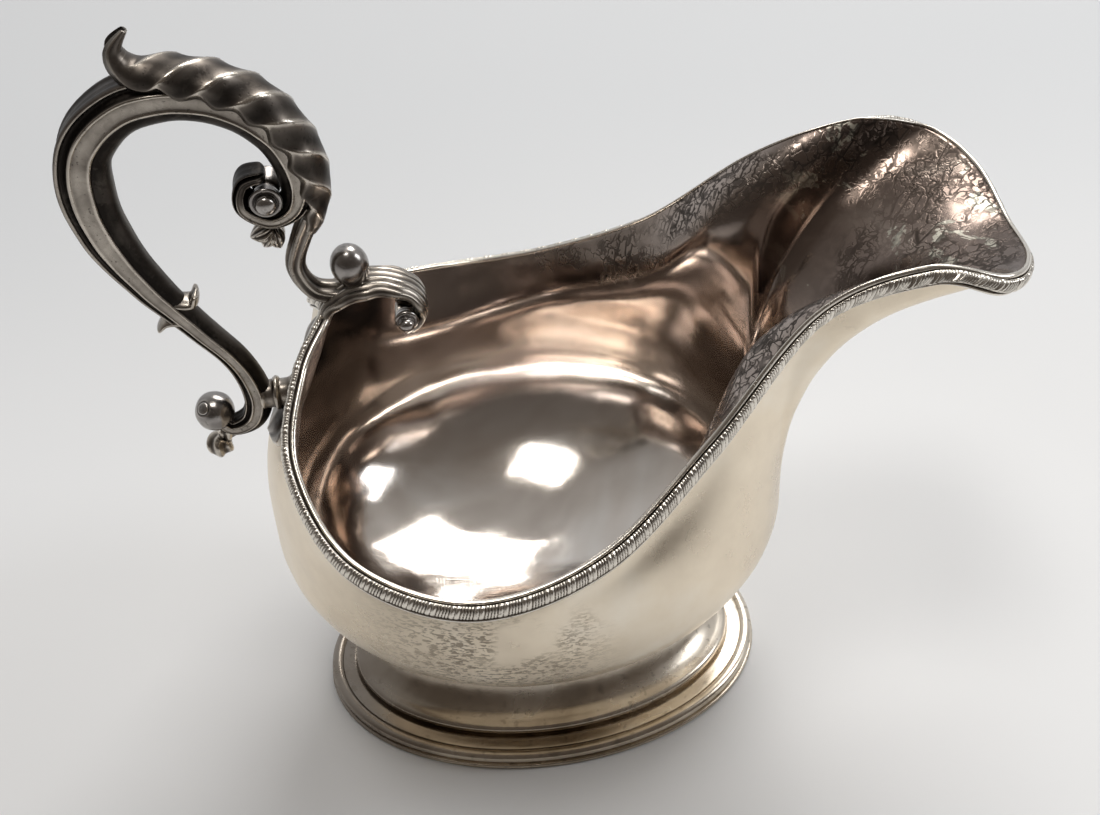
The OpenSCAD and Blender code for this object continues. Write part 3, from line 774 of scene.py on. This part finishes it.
put("s_arm_cast", *sweep(ARM, reeded(6, 0.22, 1.5), 14), CAST, "cast_silver", ["s_arm"], gain=1.2)
put("arm_egg", *lathe([[0.01, -4.8], [1.7, -4.6], [2.5, -4.0], [2.6, -3.6], [2.45, -3.3], [2.7, -2.8],
                       [3.35, -1.4], [3.62, 0.1], [3.45, 1.5], [2.8, 2.9], [1.8, 3.9], [0.8, 4.28],
                       [0.01, 4.35]], (-28.5, 0, 110.6), (-0.14, 0, 1), 64, 5),
    BOSS, "boss_silver", ["arm_ball"])

CW = 9.2
CLASP = [[-35, 98.6, 1.6, 0.7 * CW], [-33.6, 103, 3.4, 0.9 * CW], [-29, 105.6, 3.6, CW],
         [-23, 106.2, 3.2, CW], [-18, 104, 2.8, CW], [-16.2, 100, 2.4, CW],
         [-18.6, 97.2, 2.2, CW], [-21.4, 98.8, 1.8, CW]]


def clasp_section(f, s):
    m = 96
    a = np.arange(m) * 2 * math.pi / m
    ca, sa = np.cos(a), np.sin(a)
    w = 0.5 * np.sign(sa) * np.abs(sa) ** 0.8
    t = 0.5 * np.sign(ca) * np.abs(ca) ** 0.8
    rib = np.abs(np.sin((w * 2) * math.pi * 2.6 + 0.5 * math.sin(s * 0.35)))
    t = t * (1 - 0.34 * (1 - rib ** 0.6) * (np.abs(ca) > 0.15))
    w = w * (1 + 0.04 * math.sin(s * 1.1))
    return np.stack([t, w], -1)


put("clasp_leaf_cast", *sweep(CLASP, clasp_section, 14), CAST, "cast_silver", ["clasp_leaf"], gain=1.2)
parts = []
for s in (-1, 1):
    parts.append(lathe([[0.01, -1.6], [1.9, -1.6], [2.15, -0.6], [2.3, -0.1], [2.28, 0.4], [1.95, 0.72],
                        [1.5, 0.74], [1.22, 0.9], [1.2, 1.1], [1.48, 1.5], [1.56, 2.0], [1.3, 2.65],
                        [0.8, 3.0], [0.3, 3.12], [0.01, 3.14]],
                       (-19.4, s * 0.5 * CW * 0.98, 99.8), (0, s, 0), 40, 4))
put("clasp_finials_turned", *join(parts), BOSS, "boss_silver", ["clasp_finials"])


def spur(name, path, w, node):
    rows = [[x, z, t, w] for x, z, t in path]
    end = rows[-1]
    prev = rows[-2]
    d = np.array([end[0] - prev[0], end[1] - prev[1]])
    d = d / np.linalg.norm(d)
    rows.append([end[0] + 0.7 * d[0], end[1] + 0.7 * d[1], end[2] * 0.35, w * 0.45])

    def section(f, s):
        m = 56
        a = np.arange(m) * 2 * math.pi / m
        t, q = 0.5 * np.cos(a), 0.5 * np.sin(a)
        # scooped on the side that the tip curls to
        t = np.where(t > 0, t * (1 - 0.75 * np.exp(-(q / 0.26) ** 2) * rmp(f, 0.35, 0.75)), t)
        return np.stack([t, q], -1)
    put(name, *sweep(rows, section, 10), CAST, "cast_silver", [node], gain=1.2)


spur("inner_spur_cast", [[-64, 108.6, 2.6], [-61.2, 107.2, 2.5], [-58.6, 107, 2.3],
                         [-57.7, 108.8, 1.5]], 5.2, "inner_spur")
spur("outer_spur_cast", [[-58.6, 101.4, 2.4], [-61.4, 103, 2.2], [-64, 103.2, 1.9],
                         [-65.6, 102, 1.1]], 4.6, "outer_spur")


def worn(a, z):
    return 1 + 0.012 * np.sin(3 * a + z) + 0.01 * np.sin(5 * a - 1.7 * z + 1)


R = 3.88
put("terminal_boss", *lathe([[0.01, -R], [R * 0.42, -R * 0.92], [R * 0.78, -R * 0.63], [R * 0.99, -R * 0.15],
                             [R * 0.96, R * 0.3], [R * 0.76, R * 0.66], [R * 0.46, R * 0.88],
                             [R * 0.34, R * 0.9], [R * 0.28, R * 0.98], [0.01, R * 1.02]],
                            (-59.5, 0, 80), (-0.5, -0.55, 0.67), 64, 6, worn),
    BOSS, "boss_silver", ["terminal_ball"])


def twisted(a, z):
    return 1 + 0.13 * np.cos(4 * a + 1.5 * z)


put("terminal_bud_cast", *lathe([[0.01, -2.6], [1.2, -2.35], [2.15, -1.5], [2.55, -0.2], [2.4, 0.9],
                                 [1.75, 1.75], [1.2, 2.1], [1.35, 2.5], [1.55, 3.2], [1.5, 4.7],
                                 [0.01, 4.8]], (-60, 0, 71.5), (0.6, 0, 0.8), 56, 5, twisted),
    CAST, "cast_silver", ["terminal_bud"], gain=1.2)

p0 = skin(np.array([0.0]), np.array([1.7]))[0]
put("lower_strut_turned", *lathe([[0.01, -0.2], [3.3, 0.0], [3.2, 0.5], [2.85, 1.1], [2.75, 2.2], [2.8, 2.8],
                                  [3.1, 3.0], [3.4, 3.4], [3.35, 3.8], [3.1, 4.1], [2.85, 4.3],
                                  [2.8, 5.6], [2.75, 6.8], [0.01, 6.9]],
                                 (p0[0] - 0.3, 0, p0[2]), (-1, 0, 0), 48, 4),
    CAST, "cast_silver", ["lower_strut"], gain=1.2)


def plate(name, v0, v1, half_w, t, node):
    n, m = 48, 33
    rings = []
    for i in range(n + 1):
        v = v0 + (v1 - v0) * i / n
        hw = half_w * math.sin(math.pi * (0.03 + 0.94 * i / n)) ** 0.8
        q = np.linspace(-1, 1, m)
        u = np.mod(q * hw / 150, 2.0)
        vv = np.full_like(u, v)
        b, nn = skin(u, vv), skin_n(u, vv)
        rise = t * (0.45 + 0.55 * np.sqrt(np.clip(1 - q ** 2, 0, 1)))
        rise = rise + 0.18 * np.exp(-(q / 0.12) ** 2) - 0.2 * np.exp(-((np.abs(q) - 0.62) / 0.1) ** 2)
        rise[0] = rise[-1] = t * 0.15
        rings.append(np.concatenate([b + nn * rise[:, None], (b - nn * 0.05)[::-1]]))
    pp, ff = capped(np.array(rings))
    put(name, pp, ff, CAST, "cast_silver", [node], gain=1.2)


plate("upper_plate_leaf", 1.8, 1.97, 8.5, 1.5, "upper_plate")
plate("lower_plate_leaf", 1.4, 1.78, 9, 1.1, "lower_plate")

# ---------------------------------------------------------------- floor, light, camera
bpy.ops.mesh.primitive_plane_add(size=8, location=(0, 0, 0))
floor = bpy.context.object
floor.name = "floor"
fm = Mat("floor_paper")
fm.b.inputs["Metallic"].default_value = 0.0
fm.b.inputs["Specular IOR Level"].default_value = 0.25
paper = fm.ramp(fm.noise(3, 3, 0.5), (0.35, (0.745, 0.75, 0.755)), (0.7, (0.78, 0.787, 0.795)))
# painted shade: the paper darkens towards the back
far_painted_shade = fm.span(fm.xyz()[1], 0.02, 0.26)
paper = fm.mix(fm.math("MULTIPLY", far_painted_shade, 0.9), paper, (0.625, 0.64, 0.655))
fm.done(paper,
        fm.span(fm.noise(8, 2), 0.3, 0.7, 0.42, 0.55))
floor.data.materials.append(fm.m)

world = bpy.data.worlds.new("room")
bpy.context.scene.world = world
world.use_nodes = True
wt = world.node_tree
bg = wt.nodes["Background"]
wc = wt.nodes.new("ShaderNodeTexCoord")
ws = wt.nodes.new("ShaderNodeSeparateXYZ")
wt.links.new(wc.outputs["Generated"], ws.inputs[0])
wr = ramp_node(wt, ((0.0, (0.10, 0.085, 0.075)), (0.35, (0.16, 0.14, 0.125)), (0.6, (0.42, 0.41, 0.40)),
                    (1.0, (0.75, 0.76, 0.78))))
wm = wt.nodes.new("ShaderNodeMapRange")
wm.inputs["From Min"].default_value = -1.0
wt.links.new(ws.outputs[1], wm.inputs["Value"])
wt.links.new(wm.outputs[0], wr.inputs[0])
wt.links.new(wr.outputs[0], bg.inputs[0])
bg.inputs[1].default_value = 0.85


def softbox(name, at, to, size, power, colour):
    d = bpy.data.lights.new(name, "AREA")
    d.shape = "RECTANGLE"
    d.size, d.size_y = size
    d.energy = power
    d.color = colour
    o = bpy.data.objects.new(name, d)
    bpy.context.scene.collection.objects.link(o)
    o.location = at
    o.rotation_euler = (Vector(to) - Vector(at)).to_track_quat("-Z", "Y").to_euler()


softbox("key", (0.38, 0.70, 1.15), (0, 0, 0.05), (0.8, 0.6), 10.5, (1.0, 0.985, 0.965))
softbox("side", (1.20, -0.05, 0.80), (0, 0, 0.05), (0.4, 0.6), 4.2, (0.93, 0.96, 1.0))
softbox("overhead", (-0.15, -0.25, 1.5), (0, 0, 0), (0.4, 0.4), 5.0, (1.0, 0.97, 0.93))

AZ, EL, ROLL, DIST = math.radians(-3.02), math.radians(39.95), math.radians(-4.98), 0.30326
aim = Vector((FX + 0.00473, -0.03182, 0.09713))
back = Vector((math.sin(AZ) * math.cos(EL), -math.cos(AZ) * math.cos(EL), math.sin(EL)))
right = Vector((math.cos(AZ), math.sin(AZ), 0))
up = back.cross(right)
r2 = right * math.cos(ROLL) + up * math.sin(ROLL)
u2 = up * math.cos(ROLL) - right * math.sin(ROLL)
cam = bpy.data.objects.new("camera", bpy.data.cameras.new("camera"))
bpy.context.scene.collection.objects.link(cam)
cam.data.sensor_width = 36
cam.data.lens = 55.8
cam.data.clip_start = 0.01
pos = aim + back * DIST
cam.matrix_world = Matrix(((r2.x, u2.x, back.x, pos.x), (r2.y, u2.y, back.y, pos.y),
                           (r2.z, u2.z, back.z, pos.z), (0, 0, 0, 1)))
bpy.context.scene.camera = cam
bpy.context.scene.view_settings.view_transform = "Standard"
